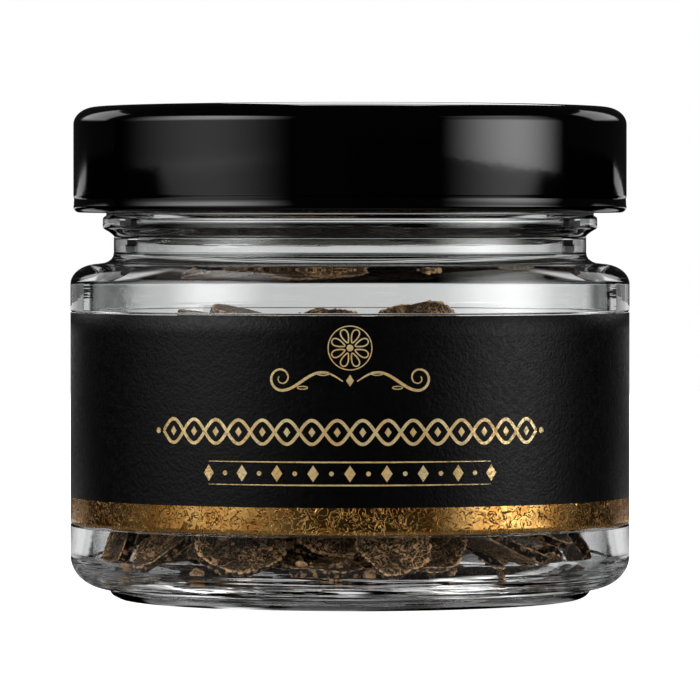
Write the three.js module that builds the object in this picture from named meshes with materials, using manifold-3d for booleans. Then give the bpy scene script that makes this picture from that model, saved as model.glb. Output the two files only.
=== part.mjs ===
// A lidded glass jar of dried black truffle slices, in millimetres, +Z up.
// The origin is the centre of the jar's foot, on the surface it stands on, and the label faces -Y.
import * as THREE from "three";
import { mergeVertices } from "three/addons/utils/BufferGeometryUtils.js";
import Module from "manifold-3d";

const wasm = await Module();
wasm.setup();

// ---------- driving dimensions ----------
const bodyRadius = 36.7; // outside of the straight glass wall
const wall = 2.9; // glass of the body
const floorTop = 3.3; // where the slices lie
const neckRadius = 31.0; // outside, below the bead
const boreRadius = 28.1; // the mouth
const rimTop = 62.4; // the glass's sealing rim
const lidRadius = 36.3;
const lidBottom = 50.55;
const lidTop = 64.4;
const tinplate = 0.5; // thicker than the real sheet, about 0.2 mm, so that the shell stays a sound solid
const labelBottom = 9.95;
const labelTop = 37.5;
const labelPanel = 0.14; // depth of the shallow recess that the label lies in
const labelGap = 0.04; // glue
const paper = 0.12;
const lugCount = 4;
const threadLead = 10.8; // rise of the lid in one full turn
const threadSpan = 60; // degrees of one thread rib
const lugSpan = 13; // degrees of one lug
const lugClearance = 0.35; // between a lug and the rib above it
const roundSegments = 48;
const labelSegments = 28; // of the same round, so the label's facets lie on the glass's
const sliceSegments = 12;
const sliceGap = 0.25; // left free round every slice

const innerRadius = bodyRadius - wall;
const degrees = Math.PI / 180;

const materials = {
  glass: new THREE.MeshStandardMaterial({ color: 0xdfe6e4, roughness: 0.05, transparent: true, opacity: 0.3 }),
  lacquer: new THREE.MeshStandardMaterial({ color: 0x050505, roughness: 0.12, metalness: 0.2 }),
  compound: new THREE.MeshStandardMaterial({ color: 0xd9d5cb, roughness: 0.7 }),
  paper: new THREE.MeshStandardMaterial({ color: 0x0c0c0d, roughness: 0.6 }),
  truffle: new THREE.MeshStandardMaterial({ color: 0x38241a, roughness: 0.9 }),
};

// ---------- shape helpers ----------

// A run of points on an ellipse, from one angle to another, for a turned profile.
function arc(centreR, centreZ, radiusR, radiusZ, fromDegrees, toDegrees, steps) {
  return Array.from({ length: steps + 1 }, (_, i) => {
    const a = (fromDegrees + ((toDegrees - fromDegrees) * i) / steps) * degrees;
    return [centreR + radiusR * Math.cos(a), centreZ + radiusZ * Math.sin(a)];
  });
}

// A profile of [radius, height] points, turned about +Z. One that closes on itself makes a ring.
function turned(profile, closed = false) {
  const points = profile.map(([r, z]) => new THREE.Vector2(r, z));
  if (closed) points.push(points[0].clone());
  return new THREE.LatheGeometry(points, roundSegments).rotateX(Math.PI / 2);
}

// A block bent round the Z axis. Its angles run from -X over the front, -Y, which is 90 degrees.
// It climbs by lead in a full turn, and low and high hold at the angle levelAt.
function bentBlock({ inner, outer, low, high, from, to, lead = 0, levelAt = from, steps }) {
  const block = new THREE.BoxGeometry(to - from, outer - inner, high - low, steps, 1, 1);
  const position = block.getAttribute("position");
  for (let i = 0; i < position.count; i++) {
    const angle = position.getX(i) + (from + to) / 2;
    const radius = (inner + outer) / 2 - position.getY(i);
    position.setXYZ(
      i,
      -radius * Math.cos(angle * degrees),
      -radius * Math.sin(angle * degrees),
      position.getZ(i) + (low + high) / 2 + (lead * (angle - levelAt)) / 360,
    );
  }
  return block;
}

function toSolid(geometry) {
  const bare = geometry.clone();
  bare.deleteAttribute("normal");
  bare.deleteAttribute("uv");
  const merged = mergeVertices(bare, 1e-4);
  return new wasm.Manifold(
    new wasm.Mesh({
      numProp: 3,
      vertProperties: merged.getAttribute("position").array,
      triVerts: new Uint32Array(merged.index.array),
    }),
  );
}

function toGeometry(solid) {
  const { vertProperties, triVerts } = solid.getMesh();
  const geometry = new THREE.BufferGeometry();
  geometry.setAttribute("position", new THREE.BufferAttribute(vertProperties, 3));
  geometry.setIndex(new THREE.BufferAttribute(triVerts, 1));
  geometry.computeVertexNormals();
  return geometry;
}

function joined(geometries) {
  return toGeometry(geometries.map(toSolid).reduce((whole, piece) => whole.add(piece)));
}

function named(name, geometry, material) {
  const mesh = new THREE.Mesh(geometry, material);
  mesh.name = name;
  return mesh;
}

// ---------- glass jar ----------

const foot = { innerRadius: 27.6, outerRadius: 29.8, notchRadius: 31.6, notchHeight: 1.35 };
const heel = { centreR: 31.9, centreZ: 5.6, radiusR: 4.8, radiusZ: 4.2 };
const shoulder = { centreR: 33.0, centreZ: 41.2, radiusR: 3.7, radiusZ: 2.65 };
const floorCorner = 2.6; // inside, between floor and wall
const roofCorner = 1.5; // inside, between wall and shoulder
const roofHeight = 42.7;
const bead = { radius: 32.45, low: 48.5, high: 49.9 };
const finishRadius = 32.0;

function jarProfile() {
  return [
    // underside, pushed up in the middle
    [0, 1.9],
    [14, 1.7],
    [25, 0.9],
    [foot.innerRadius, 0],
    [foot.outerRadius, 0],
    ...arc(foot.outerRadius, foot.notchHeight, foot.notchRadius - foot.outerRadius, foot.notchHeight, -60, 0, 2),
    // heel, body and shoulder
    ...arc(heel.centreR, heel.centreZ, heel.radiusR, heel.radiusZ, -80, 0, 6),
    [bodyRadius, labelBottom - 0.25],
    [bodyRadius - labelPanel, labelBottom - 0.1],
    [bodyRadius - labelPanel, labelTop + 0.1],
    [bodyRadius, labelTop + 0.25],
    ...arc(shoulder.centreR, shoulder.centreZ, shoulder.radiusR, shoulder.radiusZ, 0, 88, 6),
    [neckRadius + 0.7, 44.25],
    [neckRadius, 45.2],
    // neck, bead and finish
    [neckRadius, 47.4],
    [bead.radius, bead.low],
    [bead.radius, bead.high],
    [finishRadius, bead.high + 0.4],
    [finishRadius, rimTop - 1.0],
    [finishRadius - 1.0, rimTop],
    [boreRadius + 1.0, rimTop],
    // bore and cavity
    [boreRadius, rimTop - 1.2],
    [boreRadius, 44.5],
    [boreRadius + 1.0, roofHeight + 0.4],
    ...arc(innerRadius - roofCorner, roofHeight - roofCorner, roofCorner, roofCorner, 90, 0, 3),
    ...arc(innerRadius - floorCorner, floorTop + floorCorner, floorCorner, floorCorner, 0, -90, 3),
    [0, floorTop],
  ];
}

const lug = { inner: 33.0, low: 51.1, high: 52.2 };
const thread = { outer: 33.9, thickness: 1.5 };

// The glass thread: one climbing rib over each lug, standing on the finish.
function threadRibs() {
  return Array.from({ length: lugCount }, (_, i) => {
    const overLug = (360 / lugCount) * i;
    return bentBlock({
      inner: finishRadius - 0.8,
      outer: thread.outer,
      low: lug.high + lugClearance,
      high: lug.high + lugClearance + thread.thickness,
      from: overLug - lugSpan,
      to: overLug - lugSpan + threadSpan,
      lead: threadLead,
      levelAt: overLug,
      steps: 8,
    });
  });
}

function glassJar() {
  return named("glass_jar", joined([turned(jarProfile()), ...threadRibs()]), materials.glass);
}

// ---------- lid and its seal ----------

const curl = { inner: 34.5, top: 52.5, corner: 0.75 };
const lidEdge = { across: 3.0, down: 2.3 }; // the rounded edge between top and skirt
const panel = { radius: 31.0, drop: 0.5 }; // the stacking recess in the top

function lidProfile() {
  const { across, down } = lidEdge;
  const panelTop = lidTop - panel.drop;
  const edge = { r: lidRadius - across, z: lidTop - down };
  return [
    [0, panelTop - tinplate],
    [panel.radius + 0.5, panelTop - tinplate],
    [panel.radius + 1.3, lidTop - tinplate],
    ...arc(edge.r, edge.z, across - tinplate, down - tinplate, 90, 0, 4),
    [lidRadius - tinplate, curl.top + 0.4],
    [curl.inner, curl.top - 0.4],
    [curl.inner, lidBottom + 0.4],
    [curl.inner + 0.4, lidBottom],
    ...arc(lidRadius - curl.corner, lidBottom + curl.corner, curl.corner, curl.corner, -90, 0, 3),
    ...arc(edge.r, edge.z, across, down, 0, 90, 5),
    [panel.radius + 1.0, lidTop],
    [panel.radius, panelTop],
    [0, panelTop],
  ];
}

function lid() {
  const lugs = Array.from({ length: lugCount }, (_, i) => {
    const middle = (360 / lugCount) * i;
    return bentBlock({
      inner: lug.inner,
      outer: curl.inner + 0.7,
      low: lug.low,
      high: lug.high,
      from: middle - lugSpan / 2,
      to: middle + lugSpan / 2,
      lead: threadLead,
      levelAt: middle,
      steps: 2,
    });
  });
  return named("lid", joined([turned(lidProfile()), ...lugs]), materials.lacquer);
}

function sealRing() {
  const low = rimTop + 0.1;
  const high = lidTop - panel.drop - tinplate - 0.1;
  const section = [
    [boreRadius + 0.3, low],
    [panel.radius, low],
    [panel.radius, high],
    [boreRadius + 0.3, high],
  ];
  return named("seal_ring", turned(section, true), materials.compound);
}

// ---------- label ----------

function label() {
  const inner = bodyRadius - labelPanel + labelGap;
  const halfAngle = (labelSegments / 2) * (360 / roundSegments);
  return named(
    "label",
    bentBlock({
      inner,
      outer: inner + paper,
      low: labelBottom,
      high: labelTop,
      from: 90 - halfAngle,
      to: 90 + halfAngle,
      steps: labelSegments,
    }),
    materials.paper,
  );
}

// ---------- truffle slices ----------

// A small seeded generator, so that the heap is the same on every run.
function seededRandom(seed) {
  let state = seed >>> 0;
  return () => {
    state = (Math.imul(state, 1664525) + 1013904223) >>> 0;
    return state / 4294967296;
  };
}

const random = seededRandom(20);
const between = (low, high) => low + (high - low) * random();

// A dried slice in its own flat frame: its outline, and the height of its curled middle surface.
function sliceForm(radius, curl = 1) {
  const lobes = [2, 3, 5].map((n) => ({
    n,
    size: between(0.02, 0.085) / Math.sqrt(n - 1),
    phase: between(0, 2 * Math.PI),
  }));
  const dish = (curl * between(-0.11, 0.11)) / radius;
  const saddle = (curl * between(0.04, 0.16)) / radius;
  const turn = between(0, Math.PI);
  return {
    radius,
    half: between(0.62, 0.8),
    outline: (angle) => radius * (1 + lobes.reduce((sum, l) => sum + l.size * Math.cos(l.n * angle + l.phase), 0)),
    rise: (x, y) => {
      const along = x * Math.cos(turn) + y * Math.sin(turn);
      const across = y * Math.cos(turn) - x * Math.sin(turn);
      return dish * (x * x + y * y) + saddle * (along * along - across * across);
    },
  };
}

// The slice's faceted solid: a turned disc with a blunt rim, pushed to the slice's outline and curl.
function sliceGeometry(form) {
  const { half } = form;
  const profile = [
    [0, -half],
    [0.55, -half],
    [0.93, -half * 0.9],
    [1, 0],
    [0.93, half * 0.9],
    [0.55, half],
    [0, half],
  ];
  const points = profile.map(([r, z]) => new THREE.Vector2(r, z));
  const disc = new THREE.LatheGeometry(points, sliceSegments).rotateX(Math.PI / 2);
  const position = disc.getAttribute("position");
  for (let i = 0; i < position.count; i++) {
    const angle = Math.atan2(position.getY(i), position.getX(i));
    const reach = form.outline(angle);
    const x = position.getX(i) * reach;
    const y = position.getY(i) * reach;
    position.setXYZ(i, x, y, position.getZ(i) + form.rise(x, y));
  }
  return disc;
}

// Points on both faces and the rim, for telling whether two slices touch.
function samplesOf(form) {
  const points = [];
  for (const [share, levels] of [[0, [-1, 1]], [0.35, [-1, 1]], [0.68, [-1, 1]], [0.95, [-0.9, 0.9]], [1.01, [0]]]) {
    const count = share === 0 ? 1 : Math.round(6 + 26 * share);
    for (let i = 0; i < count; i++) {
      const angle = (2 * Math.PI * i) / count;
      const reach = form.outline(angle) * share;
      const x = reach * Math.cos(angle);
      const y = reach * Math.sin(angle);
      for (const level of levels) points.push(new THREE.Vector3(x, y, form.rise(x, y) + level * form.half));
    }
  }
  return points;
}

// A slice's place: where its middle is, which way its upper face looks and how it is turned.
// Bearings go round from the front: 0 is -Y, 90 is +X.
function placed(form, { bearing, reach, height, lean, towards, spin }) {
  const face = new THREE.Vector3(
    Math.sin(lean * degrees) * Math.sin(towards * degrees),
    -Math.sin(lean * degrees) * Math.cos(towards * degrees),
    Math.cos(lean * degrees),
  );
  const tilt = new THREE.Quaternion().setFromUnitVectors(new THREE.Vector3(0, 0, 1), face);
  const turnRound = new THREE.Quaternion().setFromAxisAngle(new THREE.Vector3(0, 0, 1), spin * degrees);
  const quaternion = tilt.multiply(turnRound);
  const centre = new THREE.Vector3(reach * Math.sin(bearing * degrees), -reach * Math.cos(bearing * degrees), height);
  return {
    form,
    centre,
    quaternion,
    inverse: quaternion.clone().invert(),
    offsets: samplesOf(form).map((p) => p.applyQuaternion(quaternion)),
    extent: Math.hypot(form.radius * 1.15, form.half + 1.5),
  };
}

const scratch = new THREE.Vector3();

function holds(slice, x, y, z) {
  const { form, centre, inverse, extent } = slice;
  scratch.set(x - centre.x, y - centre.y, z - centre.z);
  if (scratch.lengthSq() > extent * extent) return false;
  scratch.applyQuaternion(inverse);
  const reach = Math.hypot(scratch.x, scratch.y);
  if (reach > form.outline(Math.atan2(scratch.y, scratch.x)) + sliceGap) return false;
  return Math.abs(scratch.z - form.rise(scratch.x, scratch.y)) < form.half + sliceGap;
}

function touches(a, b) {
  if (a.centre.distanceTo(b.centre) > a.extent + b.extent) return false;
  return (
    a.offsets.some((p) => holds(b, a.centre.x + p.x, a.centre.y + p.y, a.centre.z + p.z)) ||
    b.offsets.some((p) => holds(a, b.centre.x + p.x, b.centre.y + p.y, b.centre.z + p.z))
  );
}

const freeRadius = innerRadius - 0.35;

// The cavity's floor, with its rounded corner, at a distance from the axis.
function floorAt(reach) {
  const intoCorner = reach - (innerRadius - floorCorner);
  if (intoCorner <= 0) return floorTop + 0.3;
  const climb = Math.sqrt(Math.max(0, (floorCorner - 0.3) ** 2 - intoCorner ** 2));
  return floorTop + floorCorner - climb;
}

function insideJar(slice, ceiling) {
  return slice.offsets.every((p) => {
    const reach = Math.hypot(slice.centre.x + p.x, slice.centre.y + p.y);
    const z = slice.centre.z + p.z;
    return reach < freeRadius && z > floorAt(reach) && z < ceiling;
  });
}

// The slices that show under the label's lower edge, set by hand along the floor.
const frontSlices = [
  { radius: 5.6, bearing: -77, reach: 28.7, height: 9.0, lean: 60, towards: -75, spin: 10 },
  { radius: 5.0, bearing: -54, reach: 28.3, height: 7.3, lean: 40, towards: -62, spin: 40 },
  { radius: 6.0, bearing: -30, reach: 27.5, height: 8.3, lean: 52, towards: 18, spin: 0 },
  { radius: 4.7, bearing: -6.5, reach: 27.8, height: 4.7, lean: 8, towards: 0, spin: 80 },
  { radius: 5.8, bearing: -6, reach: 19.4, height: 11.4, lean: 58, towards: 4, spin: 80 },
  { radius: 4.7, bearing: 10.5, reach: 29.7, height: 8.3, lean: 60, towards: -8, spin: 25 },
  { radius: 5.2, bearing: 22, reach: 25.0, height: 8.2, lean: 48, towards: 25, spin: 60 },
  { radius: 5.8, bearing: 46, reach: 26.4, height: 8.0, lean: 26, towards: 118, spin: 15 },
  { radius: 5.8, bearing: 63, reach: 26.4, height: 11.2, lean: 42, towards: 60, spin: 75 },
  { radius: 5.2, bearing: 91, reach: 28.9, height: 8.8, lean: 62, towards: 92, spin: 35 },
  { radius: 6.2, bearing: 66, reach: 17.5, height: 9.0, lean: 48, towards: 60, spin: 20 },
  { radius: 6.2, bearing: -62, reach: 18.5, height: 9.0, lean: 50, towards: -60, spin: 70 },
];

// Broken bits that have slipped down between them.
const bits = [-43, -20, 3, 32, 70].map((bearing) => ({
  radius: [3.0, 3.8],
  lean: [4, 40],
  bearing: [bearing - 7, bearing + 7],
  reach: [17, 26],
  ceiling: 14,
}));

// The slices that stand out over the label's upper edge.
const topCeiling = 39.6;
const topSlices = [
  { radius: 5.2, bearing: -74, reach: 18.4, height: 36.8, lean: 7, towards: 90, spin: 15, curl: 0.4 },
  { radius: 6.6, bearing: -30, reach: 23.0, height: 37.0, lean: 9.7, towards: 90, spin: 50, curl: 0.35 },
  { radius: 4.0, bearing: -32, reach: 9.4, height: 35.0, lean: 58, towards: -50, spin: 75 },
  { radius: 4.0, bearing: -5, reach: 12.6, height: 34.2, lean: 58, towards: 20, spin: 75 },
  { radius: 6.5, bearing: 22, reach: 21.5, height: 34.2, lean: 51, towards: 0, spin: 75, curl: 0.6 },
];

// The rest of the heap: flat ones and steep ones, drawn anywhere in the jar.
const flat = { radius: [7.4, 11], lean: [4, 24], bearing: [-180, 180], reach: [0, 28], ceiling: 37.3 };
const steep = { ...flat, lean: [26, 58] };
const steepShare = 0.45;
const most = 55;
const tries = 60;
const dropStep = 0.45;

// A slice takes the lowest free place among many drawn ones.
function lowestFree(kind, resting) {
  const form = sliceForm(between(...kind.radius));
  const lean = between(...kind.lean);
  const [inner, outer] = kind.reach;
  let best = null;
  for (let i = 0; i < tries; i++) {
    const slice = placed(form, {
      bearing: between(...kind.bearing),
      reach: Math.sqrt(between(inner * inner, outer * outer)),
      lean,
      towards: between(-180, 180),
      spin: between(0, 360),
      height: floorTop + 0.5,
    });
    while (slice.centre.z < kind.ceiling && (!best || slice.centre.z < best.centre.z)) {
      if (insideJar(slice, kind.ceiling) && !resting.some((other) => touches(slice, other))) {
        best = slice;
        break;
      }
      slice.centre.z += dropStep;
    }
  }
  return best;
}

function heapOfSlices() {
  const resting = [];
  for (const shown of [...frontSlices, ...topSlices]) {
    const slice = placed(sliceForm(shown.radius, shown.curl), shown);
    while (!insideJar(slice, topCeiling) || resting.some((other) => touches(slice, other))) slice.centre.z += 0.1;
    resting.push(slice);
  }
  for (const bit of bits) {
    const slice = lowestFree(bit, resting);
    if (slice) resting.push(slice);
  }
  while (resting.length < most) {
    const slice = lowestFree(random() < steepShare ? steep : flat, resting);
    if (!slice) break;
    resting.push(slice);
  }
  return resting;
}

function truffleSlices() {
  const group = new THREE.Group();
  heapOfSlices().forEach((slice, i) => {
    const number = String(i + 1).padStart(2, "0");
    const mesh = named(`truffle_slice_${number}`, sliceGeometry(slice.form), materials.truffle);
    mesh.position.copy(slice.centre);
    mesh.quaternion.copy(slice.quaternion);
    group.add(mesh);
  });
  return group;
}

// ---------- the whole jar ----------

const jar = new THREE.Group();
jar.add(glassJar(), label(), truffleSlices(), lid(), sealRing());

export default jar;
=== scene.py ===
import math
import random

import bmesh
import bpy
import numpy as np
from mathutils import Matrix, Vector, noise


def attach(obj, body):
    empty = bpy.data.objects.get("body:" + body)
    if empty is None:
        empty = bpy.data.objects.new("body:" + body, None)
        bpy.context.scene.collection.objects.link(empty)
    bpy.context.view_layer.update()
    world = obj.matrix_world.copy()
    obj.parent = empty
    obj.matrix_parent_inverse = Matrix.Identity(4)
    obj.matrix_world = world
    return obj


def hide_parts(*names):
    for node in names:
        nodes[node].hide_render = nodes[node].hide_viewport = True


# A lidded glass jar of dried black truffle slices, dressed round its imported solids.
# Drawing sizes below are in millimetres and are turned into metres as the meshes are made.
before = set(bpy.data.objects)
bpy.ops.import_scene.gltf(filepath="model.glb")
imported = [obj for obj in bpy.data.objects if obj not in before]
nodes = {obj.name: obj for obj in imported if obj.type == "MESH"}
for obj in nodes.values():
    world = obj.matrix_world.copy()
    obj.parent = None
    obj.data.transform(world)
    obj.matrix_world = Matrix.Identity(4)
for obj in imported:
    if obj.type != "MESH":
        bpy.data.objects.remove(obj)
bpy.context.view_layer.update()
mm = 0.001
print("frame loaded:", len(nodes), "nodes")


def pieceFrom(name, points, faces, body, smooth=True):
    # A mesh that rides on a body.
    mesh = bpy.data.meshes.new(name)
    mesh.from_pydata([tuple(c * mm for c in p) for p in points], [], faces)
    mesh.update()
    mesh.polygons.foreach_set("use_smooth", [smooth] * len(mesh.polygons))
    piece = bpy.data.objects.new(name, mesh)
    bpy.context.scene.collection.objects.link(piece)
    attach(piece, body)
    return piece


def facesOutward(piece):
    work = bmesh.new()
    work.from_mesh(piece.data)
    bmesh.ops.recalc_face_normals(work, faces=work.faces)
    work.to_mesh(piece.data)
    work.free()


def arc(centreR, centreZ, radiusR, radiusZ, fromDeg, toDeg, steps):
    points = []
    for i in range(steps + 1):
        a = math.radians(fromDeg + (toDeg - fromDeg) * i / steps)
        points.append((centreR + radiusR * math.cos(a), centreZ + radiusZ * math.sin(a)))
    return points


def held(start, end):
    # Two loops close to the ends keep the shading straight along a flat stretch.
    length = math.hypot(end[0] - start[0], end[1] - start[1])
    near = min(0.08, length * 0.3) / length
    step = [(end[k] - start[k]) * near for k in (0, 1)]
    return [start, (start[0] + step[0], start[1] + step[1]), (end[0] - step[0], end[1] - step[1]), end]


def turned(profile, around, closed=False, swell=None):
    # profile holds (radius, height); swell moves a point's radius by its angle and height.
    points, rings, faces = [], [], []
    for r, z in profile:
        if r < 1e-6:
            rings.append([len(points)] * around)
            points.append((0, 0, z))
            continue
        rings.append(list(range(len(points), len(points) + around)))
        for i in range(around):
            a = 2 * math.pi * i / around
            out = r + (swell(a, r, z) if swell else 0)
            points.append((out * math.cos(a), out * math.sin(a), z))
    pairs = list(zip(rings, rings[1:])) + ([(rings[-1], rings[0])] if closed else [])
    for low, high in pairs:
        for i in range(around):
            j = (i + 1) % around
            corners = [low[i], low[j], high[j], high[i]]
            faces.append([c for k, c in enumerate(corners) if c not in corners[:k]])
    return points, faces


def newMaterial(name):
    material = bpy.data.materials.new(name)
    material.use_nodes = True
    tree = material.node_tree
    return material, tree, tree.nodes["Principled BSDF"]


def add(tree, kind, **values):
    # A node with its settings, and its sockets by name, given as a value or as another node's output.
    node = tree.nodes.new(kind)
    for key, value in values.items():
        if hasattr(node, key) and key not in node.inputs:
            setattr(node, key, value)
            continue
        socket = node.inputs[int(key[1:])] if key[0] == "i" and key[1:].isdigit() else node.inputs[key]
        if isinstance(value, bpy.types.NodeSocket):
            tree.links.new(value, socket)
        else:
            socket.default_value = value
    return node


def spots(tree, coords, scale, detail=2.0, rough=0.5, warp=0.0):
    made = add(tree, "ShaderNodeTexNoise", Vector=coords, Scale=scale, Detail=detail, Roughness=rough)
    made.inputs["Distortion"].default_value = warp
    return made.outputs["Fac"]


def band(tree, value, low, high, toLow=0.0, toHigh=1.0):
    made = tree.nodes.new("ShaderNodeMapRange")
    made.interpolation_type = "SMOOTHSTEP"
    tree.links.new(value, made.inputs["Value"])
    for key, number in (("From Min", low), ("From Max", high), ("To Min", toLow), ("To Max", toHigh)):
        made.inputs[key].default_value = number
    return made.outputs["Result"]


def sums(tree, operation, first, second=None):
    made = tree.nodes.new("ShaderNodeMath")
    made.operation = operation
    for k, value in enumerate((first, second)):
        if isinstance(value, bpy.types.NodeSocket):
            tree.links.new(value, made.inputs[k])
        elif value is not None:
            made.inputs[k].default_value = value
    return made.outputs[0]


def window(tree, value, rise, fall):
    # Up over the first range and down again over the second.
    return sums(tree, "MULTIPLY", band(tree, value, *rise), band(tree, value, *fall, 1.0, 0.0))


def awayFrom(tree, value, middle):
    return sums(tree, "ABSOLUTE", sums(tree, "SUBTRACT", value, middle))


def blended(tree, amount, first, second):
    made = tree.nodes.new("ShaderNodeMix")
    made.data_type = "RGBA"
    tree.links.new(amount, made.inputs["Factor"])
    for index, value in ((6, first), (7, second)):
        if isinstance(value, bpy.types.NodeSocket):
            tree.links.new(value, made.inputs[index])
        else:
            made.inputs[index].default_value = (*value, 1)
    return made.outputs[2]


def relief(tree, shader, height, strength, distance, below=None):
    made = add(tree, "ShaderNodeBump", Height=height, Strength=strength, Distance=distance)
    if below is not None:
        tree.links.new(below, made.inputs["Normal"])
    tree.links.new(made.outputs["Normal"], shader.inputs["Normal"])
    return made.outputs["Normal"]


def coordsOf(tree):
    return tree.nodes.new("ShaderNodeTexCoord").outputs["Object"]


view = {"place": (0, -0.7985, 0.04837), "pitch": -1.137, "lens": 312.55, "clip": (0.02, 50)}
camera = bpy.data.objects.new("camera", bpy.data.cameras.new("camera"))
bpy.context.scene.collection.objects.link(camera)
camera.location = view["place"]
camera.rotation_euler = (math.radians(90 + view["pitch"]), 0, 0)
camera.data.lens = view["lens"]
camera.data.clip_start, camera.data.clip_end = view["clip"]
bpy.context.scene.camera = camera
print("camera set")


# The clear glass jar. A curve is the radius and height of its middle, then its reach out and up.
jarSizes = {
    "body": 36.7, "bodyTop": 41.1, "recess": 36.56, "recessLow": 9.9, "recessHigh": 37.55,
    "inner": 33.8, "floorTop": 3.3, "corner": 2.6, "roofCorner": 1.5, "roofLevel": 41.2,
    "foot": (29.8, 1.35, 1.8, 1.35), "heel": (31.9, 5.6, 4.8, 4.2), "shoulder": (33.0, 41.2, 3.7, 2.65),
    "finish": 32.0, "finishLow": 50.4, "finishHigh": 61.4, "finishRings": 40, "around": 192,
}
threadSizes = {
    "count": 4, "lead": 10.8, "start": -13, "span": 60, "low": 52.55, "height": 1.5, "out": 1.9, "taper": 9,
    "from": 51, "to": 61.2,
}


def glassProfile():
    s = jarSizes
    body, recess, inner = s["body"], s["recess"], s["inner"]
    low, high = s["recessLow"], s["recessHigh"]
    # the raised underside, the foot and the heel
    line = held((0, 1.7), (14, 1.55))[0:3] + held((14, 1.55), (25, 0.8))
    line += [(26.4, 0.35), (27.2, 0.06), (27.8, 0.0)] + held((27.9, 0), (29.7, 0))[1:3]
    line += arc(*s["foot"], -88, 0, 10) + arc(*s["heel"], -86, 0, 24)
    # the wall, with eased edges round the label's recess
    line += [(body, 5.7), (body, low - 0.3), (body, low - 0.25), (body - 0.03, low - 0.18)]
    line += [(body - 0.1, low - 0.1), (recess, low - 0.05), (recess, low)]
    line += [(recess, high), (recess, high + 0.05), (body - 0.1, high + 0.1)]
    line += [(body - 0.03, high + 0.18), (body, high + 0.25), (body, high + 0.3), (body, s["bodyTop"])]
    # the shoulder, the neck and its bead
    line += arc(*s["shoulder"], 0, 86, 20)
    line += [(32.2, 43.98), (31.7, 44.2), (31.3, 44.5), (31.08, 44.9), (31.0, 45.4), (31.0, 45.5)]
    line += [(31.0, 47.2), (31.0, 47.35), (31.1, 47.6), (31.6, 48.0), (32.2, 48.35), (32.4, 48.5)]
    line += [(32.45, 48.65), (32.45, 49.7), (32.4, 49.9), (32.0, 50.2)]
    # the finish, in close rings for the thread ribs
    rings, rise = s["finishRings"], s["finishHigh"] - s["finishLow"]
    line += [(s["finish"], s["finishLow"] + rise * i / rings) for i in range(rings + 1)]
    # the sealing rim, the mouth and the roof inside the shoulder
    line += [(31.8, 62.0), (31.3, 62.35), (30.8, 62.4), (29.4, 62.4), (28.6, 62.2), (28.2, 61.8), (28.1, 61.2)]
    line += [(28.1, 44.7), (28.15, 44.3), (28.5, 43.7), (29.1, 43.2), (29.8, 42.85), (30.6, 42.7)]
    line += arc(inner - s["roofCorner"], s["roofLevel"], s["roofCorner"], s["roofCorner"], 88, 0, 10)
    # the inner wall and the floor
    line += [(inner, s["bodyTop"]), (inner, s["floorTop"] + s["corner"] + 0.1)]
    line += arc(inner - s["corner"], s["floorTop"] + s["corner"], s["corner"], s["corner"], 0, -90, 14)
    line += [(inner - s["corner"] - 0.1, s["floorTop"]), (0, s["floorTop"])]
    return line


def threadSwell(angle, radius, height):
    # The climbing ribs of the glass thread. Their angles run from -X over the front.
    t = threadSizes
    if abs(radius - jarSizes["finish"]) > 0.01 or not t["from"] < height < t["to"]:
        return 0
    along = math.degrees(angle) - 180
    best = 0
    for i in range(t["count"]):
        turn = (along - 360 / t["count"] * i - t["start"]) % 360
        if turn > t["span"]:
            continue
        middle = t["low"] + t["height"] / 2 + t["lead"] * (turn + t["start"]) / 360
        across = abs(height - middle) / (t["height"] / 2)
        ends = min(1, turn / t["taper"], (t["span"] - turn) / t["taper"])
        if across < 1:
            best = max(best, t["out"] * math.sqrt(1 - across ** 2) * math.sqrt(max(0, ends)))
    return best


# Fine streaks run round the glass, in its heel and in its neck; its wall is nearly smooth.
glassLook = {
    "tint": (0.985, 0.993, 0.99, 1), "shadow": (0.9, 0.92, 0.915, 1), "bend": 1.5, "ring": 0.00025,
    "long": 0.9, "close": 900.0, "flat": 110.0, "heel": 1.0, "neck": 0.003, "wall": 0.004,
    "heelEnds": (0.0034, 0.0052), "neckStarts": (0.0405, 0.0425),
}
g = glassLook
clearGlass, tree, shader = newMaterial("clearGlass")
shader.inputs["Base Color"].default_value = g["tint"]
shader.inputs["Roughness"].default_value = 0.0
shader.inputs["IOR"].default_value = g["bend"]
shader.inputs["Transmission Weight"].default_value = 1.0
place = add(tree, "ShaderNodeSeparateXYZ", Vector=coordsOf(tree)).outputs
around = sums(tree, "ARCTAN2", place["Y"], place["X"])
squares = sums(tree, "ADD", sums(tree, "POWER", place["X"], 2.0), sums(tree, "POWER", place["Y"], 2.0))
outward = sums(tree, "MULTIPLY", sums(tree, "SQRT", squares), g["flat"])
drawn = add(
    tree, "ShaderNodeCombineXYZ",
    X=sums(tree, "MULTIPLY", sums(tree, "SINE", around), g["long"]),
    Y=sums(tree, "MULTIPLY", sums(tree, "COSINE", around), g["long"]),
    Z=sums(tree, "ADD", sums(tree, "MULTIPLY", place["Z"], g["close"]), outward),
)
streak = spots(tree, drawn.outputs["Vector"], 1.5, 2.0, 0.45, 0.3)
lowPart = band(tree, place["Z"], *g["heelEnds"], g["heel"], 0.0)
neckPart = band(tree, place["Z"], *g["neckStarts"], 0.0, g["neck"])
worked = sums(tree, "ADD", sums(tree, "ADD", lowPart, neckPart), g["wall"])
relief(tree, shader, sums(tree, "MULTIPLY", streak, worked), 1.0, g["ring"])
lampsPass = add(tree, "ShaderNodeBsdfTransparent", Color=g["shadow"]).outputs[0]
rays = tree.nodes.new("ShaderNodeLightPath").outputs
either = add(tree, "ShaderNodeMixShader", i0=rays["Is Shadow Ray"], i1=shader.outputs[0], i2=lampsPass)
tree.links.new(either.outputs[0], tree.nodes["Material Output"].inputs["Surface"])

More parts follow.
